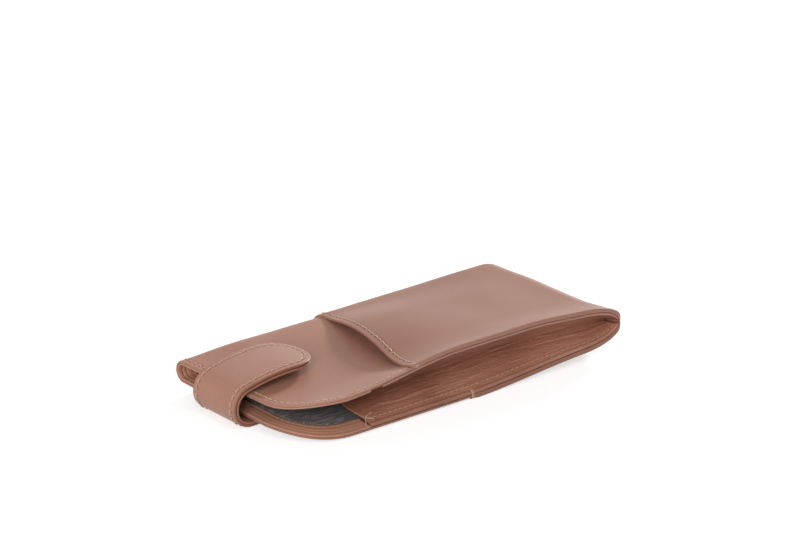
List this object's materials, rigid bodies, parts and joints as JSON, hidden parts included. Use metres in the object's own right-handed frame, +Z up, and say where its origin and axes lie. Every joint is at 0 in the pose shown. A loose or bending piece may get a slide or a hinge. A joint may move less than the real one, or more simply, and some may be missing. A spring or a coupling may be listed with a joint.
{
  "type": "soft spectacle case",
  "caption": "Soft leather slip-in spectacle case with a front slip pocket, folded side gusset and a strap that closes over the mouth with a press stud.",
  "frame": {"origin": "middle of the overall length and width, on the plane that the back rests on", "axes": "+X from the mouth to the sewn end, +Y from the gusset side to the folded side, +Z up from the back to the front"},
  "size_m": [0.1733, 0.0826, 0.0251],
  "materials": {
    "case_leather": "smooth grain, semi-matt",
    "backing_leather": "smooth, matt",
    "gusset_leather": "creased grain, matt",
    "lining_cloth": "woven check, matt",
    "stiffener_board": "matt",
    "press_stud_metal": "satin"
  },
  "bodies": {
    "case": {"body_leather": "case_leather", "pocket_leather": "case_leather", "mouth_facing": "backing_leather", "lining": "lining_cloth", "back_board": "stiffener_board", "front_board": "stiffener_board", "gusset": "gusset_leather", "strap_root_leather": "case_leather", "strap_root_backing": "backing_leather", "snap_stud": "press_stud_metal", "snap_post": "press_stud_metal"},
    "strap_bend": {"strap_bend_leather": "case_leather", "strap_bend_backing": "backing_leather"},
    "strap_tongue": {"strap_tongue_leather": "case_leather", "strap_tongue_core": "stiffener_board", "strap_tongue_backing": "backing_leather", "snap_socket": "press_stud_metal", "snap_spring": "press_stud_metal", "snap_cap": "press_stud_metal"}
  },
  "joints": [
    {"name": "strap_root_bend", "type": "hinge", "parent": "case", "child": "strap_bend", "pos_m": [-0.08373, 0.0057, 0.00213], "axis": [0, -1, 0], "range_deg": [0, 82.5]},
    {"name": "strap_tongue_bend", "type": "hinge", "parent": "strap_bend", "child": "strap_tongue", "pos_m": [-0.08527, 0.0057, 0.01385], "axis": [0, -1, 0], "range_deg": [0, 82.5]}
  ]
}
